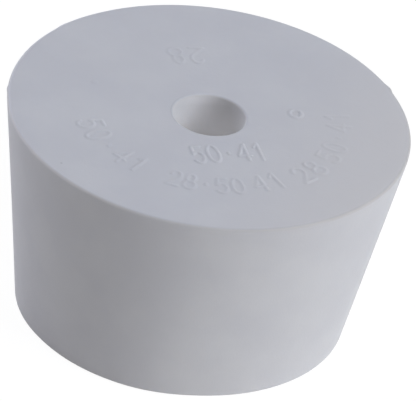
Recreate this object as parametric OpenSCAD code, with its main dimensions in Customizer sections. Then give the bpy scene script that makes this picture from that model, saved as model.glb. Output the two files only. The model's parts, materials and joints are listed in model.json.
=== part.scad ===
// One-hole rubber stopper: a tapered plug moulded in one piece, with a straight bore through it.
// It stands on its small end. The origin is the centre of that end, and +Z runs up the bore.

/* [Body] */
// Diameter of the large end, measured at the sharp corner before rounding
large_end_d = 50; // [46:0.5:56]
// Diameter of the small end, measured at the sharp corner before rounding
small_end_d = 40.8; // [36:0.1:44]
// Height from the small end to the large end
body_height = 28; // [22:0.5:34]

/* [Bore] */
// Diameter of the bore that takes a tube, a rod or a thermometer
bore_d = 9; // [4:0.5:14]

/* [Rounding] */
// Radius round the rim of the large end
large_rim_r = 0.4; // [0.1:0.1:1]
// Radius round the rim of the small end
small_rim_r = 0.4; // [0.3:0.1:1]
// Radius round both mouths of the bore
bore_lip_r = 0.3; // [0.1:0.1:0.6]

/* [Moulding flash] */
// Thickness of the flash left on the rim of the large end, where the mould parts
flash_thickness = 0.7; // [0.6:0.1:1.2]
// Direction of the nub on the right, in degrees counter-clockwise from +X
right_nub_angle = 31; // [0:1:359]
// Length of the right nub along the rim
right_nub_length = 2; // [1:0.1:3]
// How far the right nub stands out of the rim
right_nub_height = 0.25; // [0.1:0.05:0.4]
// Direction of the long trimming tab at the back
back_tab_angle = 138; // [0:1:359]
// Length of the back tab along the rim
back_tab_length = 6.4; // [4:0.1:8]
// How far the back tab stands out of the rim
back_tab_height = 0.1; // [0.1:0.05:0.2]
// Direction of the nub near the left end of the back tab
back_nub_angle = 142; // [0:1:359]
// Length of the back nub along the rim
back_nub_length = 2.6; // [1:0.1:3]
// How far the back nub stands out of the rim
back_nub_height = 0.2; // [0.1:0.05:0.4]
// Direction of the nub on the left
left_nub_angle = 182; // [0:1:359]
// Length of the left nub along the rim
left_nub_length = 1.8; // [1:0.1:3]
// How far the left nub stands out of the rim
left_nub_height = 0.15; // [0.1:0.05:0.4]

/* [Hidden] */
$fn = 96;

large_r = large_end_d / 2;
small_r = small_end_d / 2;
bore_r = bore_d / 2;
// The wall's lean from upright, in degrees
lean = atan((large_r - small_r) / body_height);
// Radius of the rounded rim of the large end, where it is widest
rim_r = large_r - large_rim_r * (1 / tan((90 - lean) / 2) - 1);
// The flash lies a little under the flat of the large end, across the rounding of its rim
flash_drop = 0.15;
flash_bottom = body_height - flash_drop - flash_thickness;
// How deep the root of each piece of flash reaches into the body
flash_root = 1.5;
// A rounding's arc is this much over its radius, so that it crosses both edges instead of only touching them
arc_overshoot = 1.0005;
// The four corners of half the section, anticlockwise from the bore's lower mouth
lower_mouth = [bore_r, 0];
small_rim = [small_r, 0];
large_rim = [large_r, body_height];
upper_mouth = [bore_r, body_height];

// Direction from one point to another, as a unit vector.
function towards(from, to) = (to - from) / norm(to - from);

// Radius of the disc that stands `height` out of a rim of radius `rim` along a chord of `length`.
function flash_radius(rim, length, height) = 1 / (8 * height / pow(length, 2) + 1 / rim);

// What rounding takes off the sharp corner between `before` and `after`, down to an arc of radius `r`.
module corner_waste(corner, before, after, r) {
    u = towards(corner, before);
    v = towards(corner, after);
    half_angle = acos(u * v) / 2;
    bisector = towards([0, 0], u + v);
    // From the corner to the arc's centre, and to the chord between the arc's ends
    to_centre = r / sin(half_angle);
    to_chord = to_centre * pow(cos(half_angle), 2);
    translate(corner)
        rotate(atan2(bisector[1], bisector[0]))
            difference() {
                translate([to_chord - 2 * to_centre, -2 * r])
                    square([2 * to_centre, 4 * r]);
                translate([to_centre, 0])
                    circle(r = r * arc_overshoot);
            }
}

// Half the section: the tapered wall, the straight bore and the four rounded corners.
module half_section() {
    difference() {
        polygon([lower_mouth, small_rim, large_rim, upper_mouth]);
        corner_waste(lower_mouth, upper_mouth, small_rim, bore_lip_r);
        corner_waste(small_rim, lower_mouth, large_rim, small_rim_r);
        corner_waste(large_rim, small_rim, upper_mouth, large_rim_r);
        corner_waste(upper_mouth, large_rim, lower_mouth, bore_lip_r);
    }
}

// Outline of a low lens of flash on the rim of the large end, with its root inside the wall.
module flash_outline(angle, length, height) {
    r = flash_radius(rim_r, length, height);
    rotate(angle)
        intersection() {
            translate([rim_r + height - r, 0])
                circle(r = r);
            translate([rim_r - flash_root, -length])
                square([2 * flash_root, 2 * length]);
        }
}

// The flash that the mould's parting line leaves, where neighbouring lenses run into one outline.
module flash() {
    translate([0, 0, flash_bottom])
        linear_extrude(height = flash_thickness)
            union() {
                flash_outline(right_nub_angle, right_nub_length, right_nub_height);
                flash_outline(back_tab_angle, back_tab_length, back_tab_height);
                flash_outline(back_nub_angle, back_nub_length, back_nub_height);
                flash_outline(left_nub_angle, left_nub_length, left_nub_height);
            }
}

// The moulded stopper.
module stopper() {
    color("Gainsboro")
        union() {
            rotate_extrude()
                half_section();
            flash();
        }
}

stopper();
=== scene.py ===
"""Looks of the one-hole rubber stopper.

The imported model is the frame: its node's mesh and the mount of its bore give the sizes that this
script works from. The stopper is turned as one closed mesh, with its rounded rims, its bore, the
flash on its rim and the figures raised on the face of its large end. It stands on a white floor
under soft lamps.
"""

from __future__ import annotations

import json
import logging
import math
from dataclasses import dataclass
from enum import Enum
from typing import Iterable, Iterator, Protocol, Sequence

import bmesh
import bpy
import numpy as np
from mathutils import Matrix, Vector, noise

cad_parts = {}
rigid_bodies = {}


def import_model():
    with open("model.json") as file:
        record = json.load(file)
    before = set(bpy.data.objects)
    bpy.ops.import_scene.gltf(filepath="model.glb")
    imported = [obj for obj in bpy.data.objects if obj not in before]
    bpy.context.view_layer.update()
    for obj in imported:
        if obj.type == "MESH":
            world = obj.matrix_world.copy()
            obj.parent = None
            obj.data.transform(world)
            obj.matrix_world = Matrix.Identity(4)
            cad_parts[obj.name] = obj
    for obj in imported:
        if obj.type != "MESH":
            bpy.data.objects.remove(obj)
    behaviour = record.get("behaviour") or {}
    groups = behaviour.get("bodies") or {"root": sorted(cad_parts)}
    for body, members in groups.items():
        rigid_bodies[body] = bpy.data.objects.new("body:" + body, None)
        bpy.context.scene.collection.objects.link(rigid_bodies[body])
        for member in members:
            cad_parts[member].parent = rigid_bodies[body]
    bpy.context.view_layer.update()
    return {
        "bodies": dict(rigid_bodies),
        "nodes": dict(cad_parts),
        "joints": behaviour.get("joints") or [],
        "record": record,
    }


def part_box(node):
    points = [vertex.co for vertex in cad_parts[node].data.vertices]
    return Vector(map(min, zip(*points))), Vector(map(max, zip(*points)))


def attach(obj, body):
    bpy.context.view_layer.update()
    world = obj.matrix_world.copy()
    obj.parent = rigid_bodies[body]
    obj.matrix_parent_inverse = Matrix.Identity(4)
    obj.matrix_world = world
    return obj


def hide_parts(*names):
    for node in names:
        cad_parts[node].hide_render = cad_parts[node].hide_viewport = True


MM = 0.001
NODE = "stopper"
BODY = "root"
# Places whose heights differ by less than this, in millimetres, lie on one level.
SAME_LEVEL = 0.001

# A colour in 8-bit sRGB.
Colour = tuple[int, int, int]
# The four channels of a linear colour, or what multiplies each of them.
Channels = tuple[float, float, float, float]
# A direction from the bore's axis.
Side = tuple[float, float, float]
# Where something starts and where it ends.
Range = tuple[float, float]

log = logging.getLogger("stopper")


# --------------------------------------------------------------------------------------------------
# Shader maths


class Wire:
    """A shader socket, or a number, that takes part in Python expressions.

    Args:
        graph: The node graph that new Math nodes go into.
        source: The socket or the plain number that this wire stands for.
    """

    def __init__(self, graph: "Graph", source: bpy.types.NodeSocket | float) -> None:
        """Keeps the graph and the source."""
        self.graph = graph
        self.source = source

    def _math(self, operation: str, *others: "Wire | float", clamp: bool = False) -> "Wire":
        """Adds one Math node whose inputs are this wire and the others."""
        values = [self, *others]
        return self.graph.node(
            "ShaderNodeMath", {"operation": operation, "use_clamp": clamp}, dict(enumerate(values))
        )

    def __add__(self, other: "Wire | float") -> "Wire":
        """Sum."""
        return self._math("ADD", other)

    __radd__ = __add__

    def __sub__(self, other: "Wire | float") -> "Wire":
        """Difference."""
        return self._math("SUBTRACT", other)

    def __rsub__(self, other: float) -> "Wire":
        """Difference from a number on the left."""
        return Wire(self.graph, other)._math("SUBTRACT", self)

    def __mul__(self, other: "Wire | float") -> "Wire":
        """Product."""
        return self._math("MULTIPLY", other)

    __rmul__ = __mul__

    def absolute(self) -> "Wire":
        """This value without its sign."""
        return self._math("ABSOLUTE")

    def at_least(self, other: "Wire | float") -> "Wire":
        """The greater of this value and another."""
        return self._math("MAXIMUM", other)

    def power(self, exponent: float) -> "Wire":
        """This value raised to a power."""
        return self._math("POWER", exponent)

    def clamped(self) -> "Wire":
        """This value held between 0 and 1."""
        return self._math("ADD", 0.0, clamp=True)

    def step(self, low: float, high: float, kind: str = "SMOOTHSTEP") -> "Wire":
        """A rise from 0 at `low` to 1 at `high`.

        Args:
            low: The value where the rise starts.
            high: The value where it ends.
            kind: How it rises, smoothly or by "LINEAR".

        Returns:
            The risen value.
        """
        return self.graph.node(
            "ShaderNodeMapRange",
            {"interpolation_type": kind},
            {"Value": self, "From Min": low, "From Max": high},
        )


class Graph:
    """The node tree of one material or world.

    Args:
        tree: The node tree to build in. Its nodes are cleared.
    """

    def __init__(self, tree: bpy.types.NodeTree) -> None:
        """Keeps the tree and clears it."""
        self.tree = tree
        tree.nodes.clear()

    def node(
        self,
        kind: str,
        settings: dict | None = None,
        sockets: dict | None = None,
        output: int | str = 0,
    ) -> Wire:
        """Adds a node.

        Args:
            kind: The node's type, such as "ShaderNodeMath".
            settings: Its own settings, such as a Math node's operation. They are set first.
            sockets: Values or wires for its inputs, by name or number.
            output: The output that the returned wire stands for.

        Returns:
            A wire from the chosen output.
        """
        made = self.tree.nodes.new(kind)
        for name, value in (settings or {}).items():
            setattr(made, name, value)
        for name, value in (sockets or {}).items():
            self._feed(made.inputs[name], value)
        return Wire(self, made.outputs[output] if len(made.outputs) else 0.0)

    def _feed(self, socket: bpy.types.NodeSocket, value: object) -> None:
        """Links a wire to an input, or sets the input's own value.

        Args:
            socket: The input.
            value: A wire to link, or the value to set.
        """
        if isinstance(value, Wire):
            value = value.source
        if isinstance(value, bpy.types.NodeSocket):
            self.tree.links.new(value, socket)
        else:
            socket.default_value = value

    def blend(
        self,
        factor: Wire,
        first: Wire | Channels,
        second: Wire | Channels,
        mode: str = "MIX",
    ) -> Wire:
        """Mixes two colours.

        Args:
            factor: How much of the second colour shows.
            first: The first colour.
            second: The second colour.
            mode: The blend mode.

        Returns:
            The mixed colour.
        """
        return self.node(
            "ShaderNodeMix",
            {"data_type": "RGBA", "blend_type": mode},
            {0: factor, 6: first, 7: second},
            output=2,
        )


def linear(red: int, green: int, blue: int) -> Channels:
    """Turns a colour written in 8-bit sRGB into the linear colour that a shader takes.

    Args:
        red: The red channel, from 0 to 255.
        green: The green channel.
        blue: The blue channel.

    Returns:
        The linear colour, opaque.
    """

    def channel(value: int) -> float:
        """One channel, made linear."""
        share = value / 255
        return share / 12.92 if share <= 0.04045 else ((share + 0.055) / 1.055) ** 2.4

    return (channel(red), channel(green), channel(blue), 1.0)


# --------------------------------------------------------------------------------------------------
# Finishes


class Spot:
    """A place on the stopper's surface, as wires of its material. Lengths are in millimetres.

    Args:
        graph: The material's graph.
        height: The stopper's height.
        bore_radius: The radius of its bore.
        large_radius: The radius of its large end.
    """

    def __init__(
        self, graph: Graph, height: float, bore_radius: float, large_radius: float
    ) -> None:
        """Makes the wires: the place, and how it lies to the bore, the top and the nearer end."""
        vector = "ShaderNodeVectorMath"
        times = {"operation": "MULTIPLY"}
        metres = graph.node("ShaderNodeTexCoord", output="Object")
        place = graph.node(vector, times, {0: metres, 1: (1 / MM, 1 / MM, 1 / MM)})
        across = graph.node(vector, times, {0: place, 1: (1.0, 1.0, 0.0)})
        radius = graph.node(vector, {"operation": "LENGTH"}, {0: across}, output="Value")
        down = height - graph.node("ShaderNodeSeparateXYZ", {}, {0: place}, output="Z")
        self.graph = graph
        self.place = place
        self.out_of_bore = radius - bore_radius
        self.out_of_large_end = radius - large_radius
        self.below_top = down
        self.depth = height / 2 - (down - height / 2).absolute()

    def towards(self, side: Side) -> Wire:
        """How far the place lies to one side of the bore's axis."""
        sockets = {0: self.place, 1: side}
        settings = {"operation": "DOT_PRODUCT"}
        return self.graph.node("ShaderNodeVectorMath", settings, sockets, output="Value")

    def noise(self, size: float, detail: float, roughness: float = 0.55) -> Wire:
        """Reads fractal noise at the place.

        Args:
            size: The size of its features.
            detail: How many finer layers it has.
            roughness: How strong each finer layer is.

        Returns:
            The noise, from 0 to 1.
        """
        sockets = {
            "Vector": self.place,
            "Scale": 1 / size,
            "Detail": detail,
            "Roughness": roughness,
        }
        return self.graph.node("ShaderNodeTexNoise", {"noise_dimensions": "3D"}, sockets)


class Layer(Protocol):
    """Something that lies over the rubber's colour, or tones it."""

    def over(self, spot: Spot, colour: Wire | Channels) -> Wire:
        """Gives the colour of a place, from the colour under this layer."""


@dataclass(frozen=True)
class Clouds:
    """Faint clouds all over the rubber.

    Args:
        colour: Their colour.
        size: Their size in millimetres.
        detail: How many finer layers they have.
        onset: The values of their noise where they start and where they are full.
    """

    colour: Colour = (207, 208, 213)
    size: float = 9.0
    detail: float = 4.0
    onset: Range = (0.35, 0.7)

    def over(self, spot: Spot, colour: Wire | Channels) -> Wire:
        """Lays the clouds over a colour."""
        mask = spot.noise(self.size, self.detail).step(*self.onset)
        return spot.graph.blend(mask, colour, linear(*self.colour))


@dataclass(frozen=True)
class PaintedLitFace:
    """The face of the large end, painted paler to the side of the key lamp: painted light. Lengths
    are in millimetres.

    Args:
        colour: Its colour where the painted light is full.
        side: The side painted paler.
        reach: How far to that side the painted light starts and where it is full.
        edge: How far below the top the face starts to end and where it has ended.
    """

    colour: Colour = (211, 210, 212)
    side: Side = (0.97, -0.26, 0.0)
    reach: Range = (2.0, 25.0)
    edge: Range = (0.2, 0.7)

    def over(self, spot: Spot, colour: Wire | Channels) -> Wire:
        """Lays the painted light over a colour."""
        # Painted light: the face is paler towards the key lamp.
        mask = spot.towards(self.side).step(*self.reach) * (1 - spot.below_top.step(*self.edge))
        return spot.graph.blend(mask, colour, linear(*self.colour))


@dataclass(frozen=True)
class PaintedSideTint:
    """All that lies below the face, painted a little warmer than the face: a painted tint of the
    light on the sides. Lengths are in millimetres.

    Args:
        tone: The painted tint.
        edge: How far below the top it starts and where it is full.
    """

    tone: Channels = (1.011, 0.983, 0.936, 1.0)
    edge: Range = (0.18, 0.3)

    def over(self, spot: Spot, colour: Wire | Channels) -> Wire:
        """Paints the tint over a colour."""
        # Painted light: a tint of the light on the sides, laid into the colour.
        mask = spot.below_top.step(*self.edge)
        return spot.graph.blend(mask, colour, self.tone, mode="MULTIPLY")


@dataclass(frozen=True)
class PaintedRimShade:
    """The rim of the large end, painted darker on the side towards the key lamp, to take away the
    lamp's highlight there, and painted paler on the other side: painted shade and painted light.

    Args:
        inset: How far its middle lies in from the large end's radius and below the top, in
            millimetres.
        reach: How far from there the shade starts to fade and where it ends, in millimetres.
        side: The side painted darker.
        slope: How much darker it gets there with each millimetre.
    """

    inset: tuple[float, float] = (0.05, 0.2)
    reach: Range = (0.2, 0.5)
    side: Side = (0.94, -0.34, 0.0)
    slope: float = 0.0068136

    def over(self, spot: Spot, colour: Wire | Channels) -> Wire:
        """Paints the shade over a colour.

        Args:
            spot: The place on the stopper.
            colour: The colour under it.

        Returns:
            The new colour.
        """
        # Painted shade towards the key lamp, and painted light on the far side.
        out = spot.out_of_large_end + self.inset[0]
        down = spot.below_top - self.inset[1]
        mask = 1 - (out * out + down * down).power(0.5).step(*self.reach)
        shade = 1 - spot.towards(self.side) * self.slope
        return spot.graph.blend(mask, colour, shade, mode="MULTIPLY")


@dataclass(frozen=True)
class BoreWall:
    """The bore's wall, painted paler deeper down as painted light, and with a faint painted glow
    that stands in for light through the rubber.

    Lengths are in millimetres, and a depth is measured from the nearer mouth.

    Args:
        mouth_colour: Its colour near its mouths.
        painted_light_colour: Its colour deep inside, where the painted light is full.
        margin: How far outside the bore's radius it starts to end and where it has ended.
        onset: The depth where its own colour starts and where it is full.
        brightening: The depth where the painted light starts and where it is full.
        painted_light_side: The side that is painted a little paler at any depth.
        painted_light_reach: How far to that side this painted light starts and where it is full.
        painted_light_share: How strong it is there, as a share of the strongest.
        painted_glow_left: The share of the painted glow that is left deep inside.
    """

    mouth_colour: Colour = (190, 189, 192)
    painted_light_colour: Colour = (242, 241, 242)
    margin: Range = (0.25, 0.35)
    onset: Range = (0.3, 0.55)
    brightening: Range = (0.3, 5.1)
    painted_light_side: Side = (-0.26, 0.97, 0.0)
    painted_light_reach: Range = (1.425, 4.75)
    painted_light_share: float = 0.33
    painted_glow_left: float = 0.65

    def over(self, spot: Spot, colour: Wire | Channels) -> Wire:
        """Lays the wall's colour and its painted light over a colour.

        Args:
            spot: The place on the stopper.
            colour: The colour under it.

        Returns:
            The new colour.
        """
        graph = spot.graph
        # Painted light: the wall is painted paler deeper down and to one side.
        side = spot.towards(self.painted_light_side).step(*self.painted_light_reach, "LINEAR")
        painted_share = self._deep(spot).at_least(side * self.painted_light_share)
        wall = graph.blend(painted_share, linear(*self.mouth_colour), linear(*self.painted_light_colour))
        return graph.blend(self._mask(spot), colour, wall)

    def painted_glow(self, spot: Spot) -> Wire:
        """The share of the painted glow that a place gets: 0 off the wall."""
        return self._mask(spot) * (1 - self._deep(spot) * (1 - self.painted_glow_left))

    def _mask(self, spot: Spot) -> Wire:
        """1 on the wall and 0 elsewhere."""
        return (1 - spot.out_of_bore.step(*self.margin)) * spot.depth.step(*self.onset)

    def _deep(self, spot: Spot) -> Wire:
        """A rise with the depth, from 0 near the mouths to 1."""
        return spot.depth.step(*self.brightening, "LINEAR")


@dataclass(frozen=True)
class PaintedMouthShade:
    """The lip and wall of the upper mouth, painted a little darker on the side that the key lamp
    lights: painted shade. Lengths are in millimetres.

    Args:
        tone: Its tone there.
        side: The side painted darker.
        reach: How far to that side it starts and where it is full.
        margin: How far outside the bore's radius it starts to end and where it has ended.
        depth: How far below the top it starts to end and where it has ended.
    """

    tone: Channels = (0.86, 0.87, 0.87, 1.0)
    side: Side = (-1.0, 0.0, 0.0)
    reach: Range = (1.425, 4.75)
    margin: Range = (0.25, 0.45)
    depth: Range = (1.5, 4.0)

    def over(self, spot: Spot, colour: Wire | Channels) -> Wire:
        """Paints the shade over a colour.

        Args:
            spot: The place on the stopper.
            colour: The colour under it.

        Returns:
            The new colour.
        """
        # Painted shade on the lit side of the upper mouth.
        inside = 1 - spot.out_of_bore.step(*self.margin)
        upper = 1 - spot.below_top.step(*self.depth)
        mask = inside * upper * spot.towards(self.side).step(*self.reach)
        return spot.graph.blend(mask, colour, self.tone, mode="MULTIPLY")


@dataclass(frozen=True)
class Specks:
    """Sparse round specks, a little darker than the rubber.

    Args:
        colour: Their colour.
        strength: The share of that colour that shows.
        spacing: From one possible speck to the next, in millimetres.
        share: The share of them that show in full, and the share that show at all.
        edge: Where a speck's edge starts and ends, as shares of the spacing.
    """

    colour: Colour = (150, 150, 156)
    strength: float = 0.5
    spacing: float = 2.4
    share: Range = (0.045, 0.05)
    edge: Range = (0.03, 0.09)

    def over(self, spot: Spot, colour: Wire | Channels) -> Wire:
        """Lays the specks over a colour.

        Args:
            spot: The place on the stopper.
            colour: The colour under it.

        Returns:
            The new colour.
        """
        graph = spot.graph
        cells = {"Vector": spot.place, "Scale": 1 / self.spacing, "Randomness": 1.0}
        distance = graph.node("ShaderNodeTexVoronoi", {"feature": "F1"}, cells, output="Distance")
        pick = graph.node("ShaderNodeTexVoronoi", {"feature": "F1"}, cells, output="Color")
        chance = graph.node("ShaderNodeSeparateColor", {}, {"Color": pick}, output="Red")
        mask = (1 - distance.step(*self.edge)) * (1 - chance.step(*self.share))
        return graph.blend(mask * self.strength, colour, linear(*self.colour))


@dataclass(frozen=True)
class Grain:
    """A grain of the surface.

    Args:
        size: The size of its features in millimetres.
        depth: Its depth in millimetres.
        detail: How many finer layers it has.
    """

    size: float
    depth: float
    detail: float


@dataclass(frozen=True)
class MattRubber:
    """Pale grey moulded rubber: matt, with a fine grain and a colour made up of layers, some of
    them painted light and shade.

    Lengths are in millimetres.

    Args:
        height: The stopper's height.
        bore_radius: The radius of its bore.
        large_radius: The radius of its large end.
        colour: The rubber's colour, under all layers.
        outside: The layers of the whole surface, the lowest first: the clouds, then painted light
            and shade.
        bore_wall: The layer of the bore's wall, with its painted light and painted glow.
        shade_and_specks: The layers over all of these, the lowest first: the painted shade of the
            upper mouth, then the specks.
        fine_grain: The grain that the roughness follows.
        orange_peel: The coarser waves of the surface.
        roughness: How rough it is.
        roughness_swing: How much that changes with the fine grain.
        specular: The level of its gloss.
        translucency: The share of the light that enters the rubber.
        glow_depth: How deep that light goes.
        glow_tint: How deep its red, green and blue go, as shares of that depth.
        painted_glow: The strength of the painted glow of the bore's wall, which stands in for the
            light that comes through the rubber into the bore.
    """

    height: float
    bore_radius: float
    large_radius: float
    colour: Colour = (203, 204, 210)
    outside: tuple[Layer, ...] = (Clouds(), PaintedLitFace(), PaintedSideTint(), PaintedRimShade())
    bore_wall: BoreWall = BoreWall()
    shade_and_specks: tuple[Layer, ...] = (PaintedMouthShade(), Specks())
    fine_grain: Grain = Grain(0.22, 0.012, 2.0)
    orange_peel: Grain = Grain(1.6, 0.02, 3.0)
    roughness: float = 0.62
    roughness_swing: float = 0.10
    specular: float = 0.35
    translucency: float = 1.0
    glow_depth: float = 0.25
    glow_tint: tuple[float, float, float] = (1.0, 0.95, 0.9)
    painted_glow: float = 0.045

    def material(self) -> bpy.types.Material:
        """Builds the material.

        Returns:
            The finished material.
        """
        made = bpy.data.materials.new("matt_rubber")
        made.use_nodes = True
        graph = Graph(made.node_tree)
        spot = Spot(graph, self.height, self.bore_radius, self.large_radius)
        colour = linear(*self.colour)
        for layer in (*self.outside, self.bore_wall, *self.shade_and_specks):
            colour = layer.over(spot, colour)
        grain = spot.noise(self.fine_grain.size, self.fine_grain.detail)
        peel = spot.noise(self.orange_peel.size, self.orange_peel.detail)
        height = grain * self.fine_grain.depth + peel * self.orange_peel.depth
        relief = {"Strength": 1.0, "Distance": MM, "Height": height}
        # Painted glow: the bore's wall emits a little light of its own.
        painted_glow = graph.blend(self.bore_wall.painted_glow(spot), (0, 0, 0, 1), (1, 1, 1, 1))
        shader = graph.node(
            "ShaderNodeBsdfPrincipled",
            {},
            {
                "Base Color": colour,
                "Roughness": self.roughness + (grain - 0.5) * self.roughness_swing,
                "Specular IOR Level": self.specular,
                "Subsurface Weight": self.translucency,
                "Subsurface Radius": self.glow_tint,
                "Subsurface Scale": self.glow_depth * MM,
                "Emission Color": painted_glow,
                "Emission Strength": self.painted_glow,
                "Normal": graph.node("ShaderNodeBump", {}, relief),
            },
        )
        graph.node("ShaderNodeOutputMaterial", {}, {"Surface": shader})
        return made


@dataclass(frozen=True)
class WhiteFloor:
    """A white surface that the eye sees as the white background, and that still takes a shadow.

    It throws a little light up at the foot of what stands on it. Lengths are in millimetres.

    Args:
        colour: The colour that it lights the scene with, in 8-bit sRGB.
        lift: The strength of the light that it throws up.
        lift_centre: The middle of the patch that throws it up.
        lift_reach: How far from there that light starts to fade and where it ends.
        glow: The strength of the floor's own white, for the eye.
        shadow_share: The share of the floor's white, for the eye, that a shadow can take away.
    """

    colour: Colour = (226, 226, 226)
    lift: float = 0.1
    lift_centre: tuple[float, float, float] = (15.0, -12.0, 0.0)
    lift_reach: Range = (15.0, 34.0)
    glow: float = 0.93
    shadow_share: float = 0.12

    def material(self) -> bpy.types.Material:
        """Builds the material.

        Returns:
            The finished material.
        """
        made = bpy.data.materials.new("white_floor")
        made.use_nodes = True
        graph = Graph(made.node_tree)
        shaders = {0: seen_directly(graph), 1: self._unseen(graph), 2: self._seen(graph)}
        both = graph.node("ShaderNodeMixShader", {}, shaders)
        graph.node("ShaderNodeOutputMaterial", {}, {"Surface": both})
        return made

    def _unseen(self, graph: Graph) -> Wire:
        """Makes the floor that lights the scene: plain, with the patch that throws light up.

        Args:
            graph: The material's graph.

        Returns:
            The shader.
        """
        plain = graph.node("ShaderNodeBsdfDiffuse", {}, {"Color": linear(*self.colour)})
        lift = graph.node("ShaderNodeEmission", {}, {"Color": (1, 1, 1, 1), "Strength": self.lift})
        lifted = graph.node("ShaderNodeAddShader", {}, {0: plain, 1: lift})
        place = graph.node("ShaderNodeTexCoord", output="Object")
        centre = tuple(length * MM for length in self.lift_centre)
        away = graph.node(
            "ShaderNodeVectorMath", {"operation": "DISTANCE"}, {0: place, 1: centre}, output="Value"
        )
        near = 1 - away.step(self.lift_reach[0] * MM, self.lift_reach[1] * MM)
        return graph.node("ShaderNodeMixShader", {}, {0: near, 1: plain, 2: lifted})

    def _seen(self, graph: Graph) -> Wire:
        """Makes the floor that the eye sees: white, and a little darker in a shadow.

        Args:
            graph: The material's graph.

        Returns:
            The shader.
        """
        share = self.shadow_share
        dim = graph.node("ShaderNodeBsdfDiffuse", {}, {"Color": (share, share, share, 1.0)})
        glow = graph.node("ShaderNodeEmission", {}, {"Color": (1, 1, 1, 1), "Strength": self.glow})
        return graph.node("ShaderNodeAddShader", {}, {0: dim, 1: glow})


def seen_directly(graph: Graph) -> Wire:
    """Tells the rays that the eye follows from those that carry light.

    Args:
        graph: The node graph of the material or world.

    Returns:
        1 for a ray from the camera, a gloss or a glass, and 0 for any other.
    """
    path = "ShaderNodeLightPath"
    eye = graph.node(path, output="Is Camera Ray")
    gloss = graph.node(path, output="Is Glossy Ray")
    glass = graph.node(path, output="Is Transmission Ray")
    return (eye + gloss + glass).clamped()


# --------------------------------------------------------------------------------------------------
# Mesh helpers


def mesh_object(
    name: str, vertices: Iterable[Sequence[float]], faces: Iterable[Sequence[int]]
) -> bpy.types.Object:
    """Makes an object from vertices and faces, with its normals outward.

    Args:
        name: The object's name.
        vertices: The points, in metres.
        faces: The faces, each a list of vertex numbers.

    Returns:
        The new object, linked to the scene.
    """
    data = bpy.data.meshes.new(name)
    data.from_pydata([tuple(v) for v in vertices], [], [tuple(f) for f in faces])
    work = bmesh.new()
    work.from_mesh(data)
    bmesh.ops.recalc_face_normals(work, faces=work.faces)
    work.to_mesh(data)
    work.free()
    made = bpy.data.objects.new(name, data)
    bpy.context.scene.collection.objects.link(made)
    return made


def hump(distance: float, half_length: float) -> float:
    """A smooth hump: 1 at a distance of 0, falling to 0 at `half_length`."""
    share = min(abs(distance) / half_length, 1.0)
    return (1 - share * share) ** 2


def apart(angle: float, other: float) -> float:
    """How far one direction lies from another, in degrees, from -180 to 180."""
    return (angle - other + 180) % 360 - 180


def turned(arrow: Vector, angle: float) -> Vector:
    """A flat vector turned counter-clockwise by an angle in radians."""
    cos, sin = math.cos(angle), math.sin(angle)
    return Vector((arrow.x * cos - arrow.y * sin, arrow.x * sin + arrow.y * cos))


# --------------------------------------------------------------------------------------------------
# Raised figures

# A bowed stroke turns by about this angle a step, in degrees, and has at least this many steps.
STEP_ANGLE = 15
FEWEST_STEPS = 4


def line(*points: tuple[float, float]) -> list[Vector]:
    """A stroke through points, in the unit box of a figure."""
    return [Vector(p) for p in points]


def bow(
    centre: tuple[float, float], size: tuple[float, float], start: float, end: float
) -> list[Vector]:
    """A stroke along part of an ellipse.

    Args:
        centre: The ellipse's centre in the unit box.
        size: Its two half-widths.
        start: The angle where the stroke starts, in degrees.
        end: The angle where it ends.

    Returns:
        The stroke's points.
    """
    count = max(FEWEST_STEPS, round(abs(end - start) / STEP_ANGLE))
    points = []
    for n in range(count + 1):
        angle = math.radians(start + (end - start) * n / count)
        across, up = size[0] * math.cos(angle), size[1] * math.sin(angle)
        points.append(Vector((centre[0] + across, centre[1] + up)))
    return points


# The strokes of each figure, in a unit box with its origin at the lower left.
FIGURES: dict[str, list[list[Vector]]] = {
    "0": [bow((0.5, 0.5), (0.42, 0.5), 90, 450)],
    "1": [line((0.22, 0.78), (0.55, 1.0), (0.55, 0.0))],
    "2": [bow((0.5, 0.7), (0.4, 0.3), 165, -40) + line((0.08, 0.0), (0.92, 0.0))],
    "4": [line((0.92, 0.3), (0.05, 0.3), (0.68, 1.0), (0.68, 0.0))],
    "5": [line((0.85, 1.0), (0.2, 1.0), (0.14, 0.54)) + bow((0.47, 0.32), (0.42, 0.32), 125, -150)],
    "8": [bow((0.5, 0.75), (0.34, 0.25), -90, 270), bow((0.5, 0.26), (0.42, 0.26), 90, 450)],
    ".": [line((0.5, 0.45), (0.5, 0.55))],
    "o": [bow((0.5, 0.5), (0.5, 0.5), 0, 360)],
}


class Baseline(Enum):
    """How the figures of a mark are lined up."""

    ROUND = "round the bore"
    STRAIGHT = "on a straight line"


@dataclass(frozen=True)
class Mark:
    """Figures raised on the face, with their tops towards the bore. Lengths are in millimetres.

    Args:
        text: The figures, a full stop for a raised pip, or an "o" for a small raised ring.
        angle: The direction of the mark's middle, in degrees counter-clockwise from +X.
        radius: The distance of its middle from the bore's axis.
        size: Width and height of one figure.
        pitch: From one figure to the next.
        relief: How far the figures stand out of the face.
        stroke: Width of a stroke at its foot.
        baseline: How the figures are lined up.
    """

    text: str
    angle: float
    radius: float
    size: tuple[float, float]
    pitch: float
    relief: float
    stroke: float
    baseline: Baseline = Baseline.ROUND

    def strokes(self) -> Iterator[list[Vector]]:
        """Gives the middle line of each stroke, as points (x, y) on the face."""
        for number, figure in enumerate(self.text):
            offset = (number - (len(self.text) - 1) / 2) * self.pitch
            for stroke in FIGURES[figure]:
                yield [self._place(offset, point) for point in stroke]

    def _place(self, offset: float, point: Vector) -> Vector:
        """Carries a point of a figure's unit box to the face.

        Args:
            offset: The figure's place along the mark, from the mark's middle.
            point: The point in the unit box.

        Returns:
            The place (x, y) on the face.
        """
        across = offset + (point.x - 0.5) * self.size[0]
        outward = self.radius - (point.y - 0.5) * self.size[1]
        turn = math.radians(self.angle)
        if self.baseline is Baseline.ROUND:
            turn += across / self.radius
            across = 0.0
        return turned(Vector((outward, across)), turn)


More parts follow.
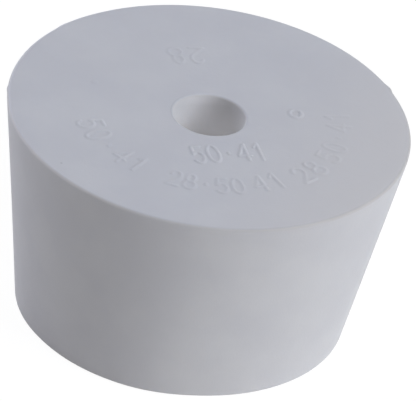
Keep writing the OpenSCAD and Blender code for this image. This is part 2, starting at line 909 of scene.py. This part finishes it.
@dataclass(frozen=True)
class RaisedMarks:
    """The plain figures and pips moulded on the face of the large end.

    Args:
        marks: The marks, one by one.
        flat: The share of a stroke's width that is level on top.
    """

    marks: tuple[Mark, ...] = (
        Mark("50.41", 291.0, 8.5, (1.65, 3.5), 1.95, 0.13, 0.56, Baseline.STRAIGHT),
        Mark("50.41", 222.5, 15.5, (1.9, 3.2), 2.5, 0.11, 0.56),
        Mark("28.50", 273.5, 15.6, (1.6, 3.1), 1.95, 0.10, 0.56),
        Mark("41", 303.0, 15.4, (1.75, 3.1), 2.2, 0.11, 0.56),
        Mark("28", 325.0, 15.9, (1.85, 3.1), 2.45, 0.11, 0.56),
        Mark("50.41", 358.0, 16.0, (1.75, 2.9), 2.35, 0.07, 0.56),
        Mark("28", 107.5, 13.2, (1.85, 3.4), 2.55, 0.08, 0.56),
        Mark("o", 17.5, 10.9, (1.7, 1.5), 1.2, 0.13, 0.6),
        Mark(".", 168.0, 14.9, (1.0, 1.6), 1.0, 0.07, 0.9),
    )
    flat: float = 0.35

    def span(self) -> tuple[float, float]:
        """Gives how far in and how far out the marks reach.

        Returns:
            The smallest and the largest distance from the bore's axis, in millimetres.
        """
        near, far = math.inf, 0.0
        for mark in self.marks:
            distances = [point.length for stroke in mark.strokes() for point in stroke]
            near = min(near, min(distances) - mark.stroke)
            far = max(far, max(distances) + mark.stroke)
        return near, far

    def highest(self) -> float:
        """How far the highest mark stands out of the face, in millimetres."""
        return max(mark.relief for mark in self.marks)

    def relief(self, points: np.ndarray) -> np.ndarray:
        """How far the marks stand out of the face.

        Args:
            points: The places on the face, one (x, y) in millimetres to a row.

        Returns:
            The height at each place, in millimetres.
        """
        height = np.zeros(len(points))
        for mark in self.marks:
            for stroke in mark.strokes():
                for start, end in zip(stroke, stroke[1:]):
                    share = self._distance(points, start, end) / (mark.stroke / 2)
                    down = np.clip((share - self.flat) / (1 - self.flat), 0, 1)
                    rise = mark.relief * (0.5 + 0.5 * np.cos(np.pi * down))
                    height = np.maximum(height, rise)
        return height

    @staticmethod
    def _distance(points: np.ndarray, start: Vector, end: Vector) -> np.ndarray:
        """Measures how far places lie from a straight stretch of a stroke.

        Args:
            points: The places, one (x, y) to a row.
            start: Where the stretch starts.
            end: Where it ends.

        Returns:
            The distance of each place.
        """
        along = np.array(end - start)
        away = points - np.array(start)
        share = np.clip(away @ along / (along @ along), 0, 1)
        return np.linalg.norm(away - share[:, None] * along, axis=1)


# --------------------------------------------------------------------------------------------------
# The moulded body


@dataclass(frozen=True)
class Flash:
    """A trace of moulding flash on the rim of the large end.

    Args:
        angle: Its direction in degrees, counter-clockwise from +X.
        length: Its length along the rim, in millimetres.
        height: How far it stands out of the rim, in millimetres.
    """

    angle: float
    length: float
    height: float


@dataclass(frozen=True)
class Spread:
    """A stretch of the foot that is a little wider or narrower than a true circle.

    Args:
        angle: The direction of its middle in degrees, counter-clockwise from +X.
        reach: How far it runs to each side, in degrees.
        width: How far the foot stands out there, in millimetres.
    """

    angle: float
    reach: float
    width: float


@dataclass(frozen=True)
class Swell:
    """A small unevenness of moulded rubber, which runs round the wall and up it.

    Args:
        depth: How deep it is, in millimetres.
        rate: How quickly it changes round the stopper.
        climb: How quickly it changes with the height, to the millimetre.
        offset: How far its noise is moved, so that two swells differ.
    """

    depth: float
    rate: float
    climb: float
    offset: float = 0.0

    def at(self, way: Vector, height: float) -> float:
        """How far it lies in, at a direction from the bore's axis and a height in millimetres."""
        place = way * self.rate + Vector((self.offset, 0.0, height * self.climb))
        return self.depth * (0.5 + 0.5 * noise.noise(place))


@dataclass
class StopperBody:
    """The tapered body with its bore, its rounded corners and the flash on its rim.

    Sizes are in millimetres.

    Args:
        height: The height from the small end to the large end.
        bore_radius: The radius of the bore.
        small_radius: The radius of the small end, at the sharp corner before rounding.
        large_radius: The radius of the large end, at the sharp corner before rounding.
        marks: What is raised on the face of the large end.
        rim_rounding: The radius round the rim of the large end.
        foot_rounding: The radius round the rim of the small end.
        lip_rounding: The radius round both mouths of the bore.
        edge_band: The width of the band inside the rim where the face falls a little.
        edge_fall: How far it falls there.
        edge_steps: Where the points of the falling band lie, as shares of its width from the rim.
        arc_steps: How many steps a rounding has.
        segments: How many segments the whole turn has.
        fine_step: The mesh's step across the face where the marks stand.
        coarse_step: The longest step on the straight stretches elsewhere.
        guard: How far from its ends a straight stretch has its first and last point.
        flash: The traces of flash.
        flash_drop: How far below the top the flash starts to run out.
        flash_depth: How much deeper it ends.
        spread: Where the foot is out of round.
        spread_band: How far in from the wall the foot's unevenness ends.
        swells: The unevenness of the wall, which only ever lies in.
        outer_band: How far in from the wall the flash and the swells end.
        clearance: How far the tops of the highest marks stay below the height.
    """

    height: float
    bore_radius: float
    small_radius: float
    large_radius: float
    marks: RaisedMarks = RaisedMarks()
    rim_rounding: float = 0.4
    foot_rounding: float = 0.4
    lip_rounding: float = 0.3
    edge_band: float = 1.8
    edge_fall: float = 0.04
    edge_steps: tuple[float, ...] = (1.0, 0.8, 0.6, 0.4)
    arc_steps: int = 5
    segments: int = 620
    fine_step: float = 0.115
    coarse_step: float = 7.0
    guard: float = 0.12
    flash: tuple[Flash, ...] = (
        Flash(31.0, 2.4, 0.25),
        Flash(138.0, 8.0, 0.10),
        Flash(142.3, 3.0, 0.12),
        Flash(182.0, 2.0, 0.12),
    )
    flash_drop: float = 0.1
    flash_depth: float = 1.1
    spread: tuple[Spread, ...] = (
        Spread(213.0, 39.0, 0.48),
        Spread(251.0, 35.0, 0.46),
        Spread(313.0, 60.0, -0.15),
    )
    spread_band: float = 4.0
    swells: tuple[Swell, ...] = (Swell(0.02, 1.3, 0.05), Swell(0.012, 14.0, 0.4, 5.0))
    outer_band: float = 0.6
    clearance: float = 0.001

    @classmethod
    def from_frame(cls, frame: dict) -> "StopperBody":
        """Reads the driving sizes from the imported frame.


        Returns:
            The body, with the CAD model's sizes.
        """
        _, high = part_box(NODE)
        height = high.z / MM
        bore = next(m for m in frame["record"]["mounts"] if m["name"] == "bore")
        points = [v.co / MM for v in frame["nodes"][NODE].data.vertices]
        foot = max(p.xy.length for p in points if p.z < SAME_LEVEL)
        face = max(p.xy.length for p in points if p.z > height - SAME_LEVEL)
        lean = math.atan((face - foot) / height)
        small = foot + cls.foot_rounding / math.tan((math.pi / 2 + lean) / 2)
        large = face + cls.rim_rounding / math.tan((math.pi / 2 - lean) / 2)
        return cls(height, bore["dims"]["r_mm"], small, large)

    def section(self) -> list[Vector]:
        """The closed outline of half the section.

        Returns:
            Points (radius, height), from the upper mouth of the bore outwards and round.
        """
        face = self.height - self.marks.highest() - self.clearance
        upper_lip = Vector((self.bore_radius, face))
        large_rim = Vector((self.large_radius, face - self.edge_fall))
        small_rim = Vector((self.small_radius, 0.0))
        lower_lip = Vector((self.bore_radius, 0.0))
        lip, n = self.lip_rounding, self.arc_steps
        marked = [Vector((radius, face)) for radius in self.marks.span()]
        face_start = rounded(lower_lip, upper_lip, large_rim, lip, n)
        edge = []
        for share in self.edge_steps:
            rise = self.edge_fall * (1 - (1 - share) ** 2)
            edge.append(large_rim + Vector((-self.edge_band * share, rise)))
        # The falling band reaches the rim at twice its mean slope: the rounding starts from that.
        before_rim = large_rim + Vector((-self.edge_band, 2 * self.edge_fall))
        face_end = rounded(before_rim, large_rim, small_rim, self.rim_rounding, n)
        foot_start = rounded(large_rim, small_rim, lower_lip, self.foot_rounding, n)
        foot_end = rounded(small_rim, lower_lip, upper_lip, lip, n)
        return [
            *face_start,
            *self._flat(face_start[-1], marked[0]),
            marked[0],
            *between(*marked, self.fine_step),
            marked[1],
            *self._flat(marked[1], edge[0]),
            *edge,
            *face_end,
            *self._flat(face_end[-1], foot_start[0]),
            *foot_start,
            *self._flat(foot_start[-1], foot_end[0]),
            *foot_end,
            *self._flat(foot_end[-1], face_start[0]),
        ]

    def _flat(self, start: Vector, end: Vector) -> list[Vector]:
        """Gives the points of a straight stretch, one of them close to each end.

        A rounding's smooth shade then stays on the rounding.

        Args:
            start: Where the stretch starts.
            end: Where it ends.

        Returns:
            The points between.
        """
        share = self.guard / (end - start).length
        near, far = start.lerp(end, share), end.lerp(start, share)
        return [near, *between(near, far, self.coarse_step), far]

    def _flash_at(self, angle: float) -> float:
        """Adds up the flash in one direction.

        Args:
            angle: The direction in degrees, counter-clockwise from +X.

        Returns:
            How far the flash stands out of the rim there.
        """
        total = 0.0
        for piece in self.flash:
            arc = math.radians(apart(angle, piece.angle)) * self.large_radius
            total += piece.height * hump(arc, piece.length / 2)
        return total

    def _foot_spread(self, angle: float, height: float) -> float:
        """How far the foot's unevenness moves the wall out, less and less up the wall."""
        total = sum(s.width * hump(apart(angle, s.angle), s.reach) for s in self.spread)
        return total * (1 - height / self.height) ** 2

    def _shifted(self, point: Vector, angle: float) -> Vector:
        """Carries a point of the section to one direction, with what makes the body uneven there.

        That is the flash, the swells of the wall and the foot's unevenness.

        Args:
            point: The section's (radius, height), in millimetres.
            angle: The direction in degrees, counter-clockwise from +X.

        Returns:
            The shifted place, in millimetres.
        """
        radius, height = point
        turn = math.radians(angle)
        way = Vector((math.cos(turn), math.sin(turn), 0.0))
        drop = self.height - height
        wall = self.small_radius + (self.large_radius - self.small_radius) * height / self.height
        outer = max(0.0, 1 - max(0.0, wall - radius) / self.outer_band)
        inward = sum(swell.at(way, height) for swell in self.swells)
        outward = hump(max(0.0, drop - self.flash_drop), self.flash_depth) * self._flash_at(angle)
        near_wall = max(0.0, 1 - max(0.0, wall - radius) / self.spread_band)
        radius += outer * (outward - inward) + near_wall * self._foot_spread(angle, height)
        return way * radius + Vector((0.0, 0.0, height))

    def build(self) -> bpy.types.Object:
        """Turns the section into a closed mesh and raises the marks on its face.

        Returns:
            The body.
        """
        section = self.section()
        points = []
        for number in range(self.segments):
            points += [self._shifted(point, 360 * number / self.segments) for point in section]
        places = np.array(points)
        face = max(p.y for p in section)
        on_face = np.tile([p.y > face - SAME_LEVEL for p in section], self.segments)
        places[on_face, 2] += self.marks.relief(places[on_face, :2])
        count = len(section)
        faces = []
        for number in range(self.segments):
            here = number * count
            there = (number + 1) % self.segments * count
            for n in range(count):
                m = (n + 1) % count
                faces.append((here + n, here + m, there + m, there + n))
        return mesh_object("moulded_stopper", places * MM, faces)


def rounded(
    before: Vector, corner: Vector, after: Vector, radius: float, steps: int
) -> list[Vector]:
    """Points of the arc that rounds a corner, tangent to both its sides.

    Args:
        before: The corner before it.
        corner: The corner itself.
        after: The corner after it.
        radius: The radius of the arc.
        steps: How many steps the arc has.

    Returns:
        The arc's points, with its ends.
    """
    u = (before - corner).normalized()
    v = (after - corner).normalized()
    half = u.angle(v) / 2
    centre = corner + (u + v).normalized() * (radius / math.sin(half))
    first = corner + u * (radius / math.tan(half)) - centre
    last = corner + v * (radius / math.tan(half)) - centre
    sweep = math.atan2(first.x * last.y - first.y * last.x, first.dot(last))
    return [centre + turned(first, sweep * n / steps) for n in range(steps + 1)]


def between(start: Vector, end: Vector, spacing: float) -> list[Vector]:
    """Points on the line between two ends, without the ends, at most `spacing` apart."""
    count = max(1, math.ceil((end - start).length / spacing))
    return [start.lerp(end, n / count) for n in range(1, count)]


@dataclass
class MouldedStopper:
    """The one moulded piece, dressed in its rubber.

    Args:
        body: The piece's shape.
    """

    body: StopperBody

    def build(self) -> bpy.types.Object:
        """Builds and dresses the piece.

        Returns:
            The finished piece.
        """
        body = self.body
        piece = body.build()
        piece.data.shade_smooth()
        finish = MattRubber(body.height, body.bore_radius, body.large_radius)
        piece.data.materials.append(finish.material())
        return piece


# --------------------------------------------------------------------------------------------------
# The studio


@dataclass(frozen=True)
class Softbox:
    """A square area lamp that looks at the stopper.

    Args:
        name: The lamp's name.
        azimuth: Where it stands, in degrees round from the viewer's side towards +X.
        elevation: Its height over the horizon, in degrees.
        distance: Its distance in metres.
        size: The side of its square, in metres.
        power: Its power in watts.
        tint: Its colour.
    """

    name: str
    azimuth: float
    elevation: float
    distance: float
    size: float
    power: float
    tint: tuple[float, float, float]

    def build(self, target: Vector) -> bpy.types.Object:
        """Sets the lamp up.

        Args:
            target: The point it looks at.

        Returns:
            The lamp.
        """
        data = bpy.data.lights.new(self.name, "AREA")
        data.shape = "SQUARE"
        data.size = self.size
        data.energy = self.power
        data.color = self.tint
        lamp = bpy.data.objects.new(self.name, data)
        bpy.context.scene.collection.objects.link(lamp)
        away = direction(self.azimuth, self.elevation)
        lamp.location = target + away * self.distance
        lamp.rotation_mode = "QUATERNION"
        lamp.rotation_quaternion = (-away).to_track_quat("-Z", "Y")
        return lamp


def direction(azimuth: float, elevation: float) -> Vector:
    """The unit vector towards a direction.

    Args:
        azimuth: Degrees round from -Y, the viewer's side, towards +X.
        elevation: Degrees over the horizon.

    Returns:
        The vector.
    """
    a, e = math.radians(azimuth), math.radians(elevation)
    return Vector((math.sin(a) * math.cos(e), -math.cos(a) * math.cos(e), math.sin(e)))


@dataclass
class Studio:
    """The white floor, the lamps, the surrounding light and the camera. Lengths are in metres.

    Args:
        floor: The floor's finish.
        floor_side: The side of the square floor.
        floor_drop: How far it lies below the stopper, so that the two never share a plane.
        ambient: The strength of the surrounding light.
        ambient_tint: Its colour.
        lamps: The lamps.
        camera_elevation: The camera's height over the horizon, in degrees.
        camera_roll: How far it is rolled to its left, in degrees.
        camera_distance: Its distance from the point that it aims at.
        focal_length: Its focal length, in millimetres.
        sensor_width: The width of its sensor, in millimetres.
        clip: The nearest and the farthest that it sees.
        aim: The point that it aims at.
        aim_right: How far the camera is moved to its own right from there.
        aim_up: How far it is moved up, in its own frame.
    """

    floor: WhiteFloor = WhiteFloor()
    floor_side: float = 6.0
    floor_drop: float = 0.02 * MM
    ambient: float = 0.314
    ambient_tint: tuple[float, float, float] = (0.988, 0.983, 0.995)
    lamps: tuple[Softbox, ...] = (
        Softbox("key_right", 66.0, 25.0, 2.0, 1.3, 30.7, (0.869, 0.911, 0.979)),
        Softbox("fill_back", -120.0, 25.0, 2.0, 1.3, 17.6, (0.814, 0.848, 0.995)),
    )
    camera_elevation: float = 33.12
    camera_roll: float = 9.18
    camera_distance: float = 1.2
    focal_length: float = 842.9
    sensor_width: float = 36.0
    clip: tuple[float, float] = (0.01, 20.0)
    aim: tuple[float, float, float] = (0.0, 0.0, 0.0125)
    aim_right: float = 1.850 * MM
    aim_up: float = 2.212 * MM

    def build(self) -> None:
        """Sets up the floor, the light and the camera."""
        target = Vector(self.aim)
        self._floor()
        self._world()
        for lamp in self.lamps:
            lamp.build(target)
            log.info("lamp %s", lamp.name)
        self._camera(target)

    def _floor(self) -> None:
        """Lays the floor under the stopper, a hair below it."""
        half, low = self.floor_side / 2, -self.floor_drop
        around = ((-half, -half), (half, -half), (half, half), (-half, half))
        corners = [Vector((x, y, low)) for x, y in around]
        floor = mesh_object("floor", corners, [(0, 1, 2, 3)])
        floor.data.materials.append(self.floor.material())

    def _world(self) -> None:
        """Surrounds the scene with soft light, which the eye sees as plain white."""
        world = bpy.data.worlds.new("studio")
        bpy.context.scene.world = world
        world.use_nodes = True
        graph = Graph(world.node_tree)
        seen = seen_directly(graph)
        tint = (*self.ambient_tint, 1.0)
        soft = graph.node("ShaderNodeBackground", {}, {"Color": tint, "Strength": self.ambient})
        white = graph.node("ShaderNodeBackground", {}, {"Color": (1, 1, 1, 1), "Strength": 1.0})
        both = graph.node("ShaderNodeMixShader", {}, {0: seen, 1: soft, 2: white})
        graph.node("ShaderNodeOutputWorld", {}, {"Surface": both})

    def _camera(self, target: Vector) -> None:
        """Places the camera.

        Args:
            target: The point it looks towards, before it is moved aside.
        """
        data = bpy.data.cameras.new("camera")
        data.lens = self.focal_length
        data.sensor_width = self.sensor_width
        data.clip_start, data.clip_end = self.clip
        camera = bpy.data.objects.new("camera", data)
        bpy.context.scene.collection.objects.link(camera)
        away = direction(0.0, self.camera_elevation)
        level = (-away).to_track_quat("-Z", "Y").to_matrix()
        turn = level @ Matrix.Rotation(math.radians(self.camera_roll), 3, "Z")
        sideways = turn @ Vector((self.aim_right, self.aim_up, 0.0))
        camera.rotation_mode = "QUATERNION"
        camera.rotation_quaternion = turn.to_quaternion()
        camera.location = target + sideways + away * self.camera_distance
        bpy.context.scene.camera = camera


def main() -> None:
    logging.basicConfig(level=logging.INFO, format="%(name)s: %(message)s")
    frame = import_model()
    piece = MouldedStopper(StopperBody.from_frame(frame)).build()
    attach(piece, BODY)
    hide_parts(NODE)
    log.info("%s: %d faces", piece.name, len(piece.data.polygons))
    Studio().build()
    bpy.context.scene.view_settings.view_transform = "Standard"
    bpy.context.view_layer.update()


if __name__ == "__main__":
    main()
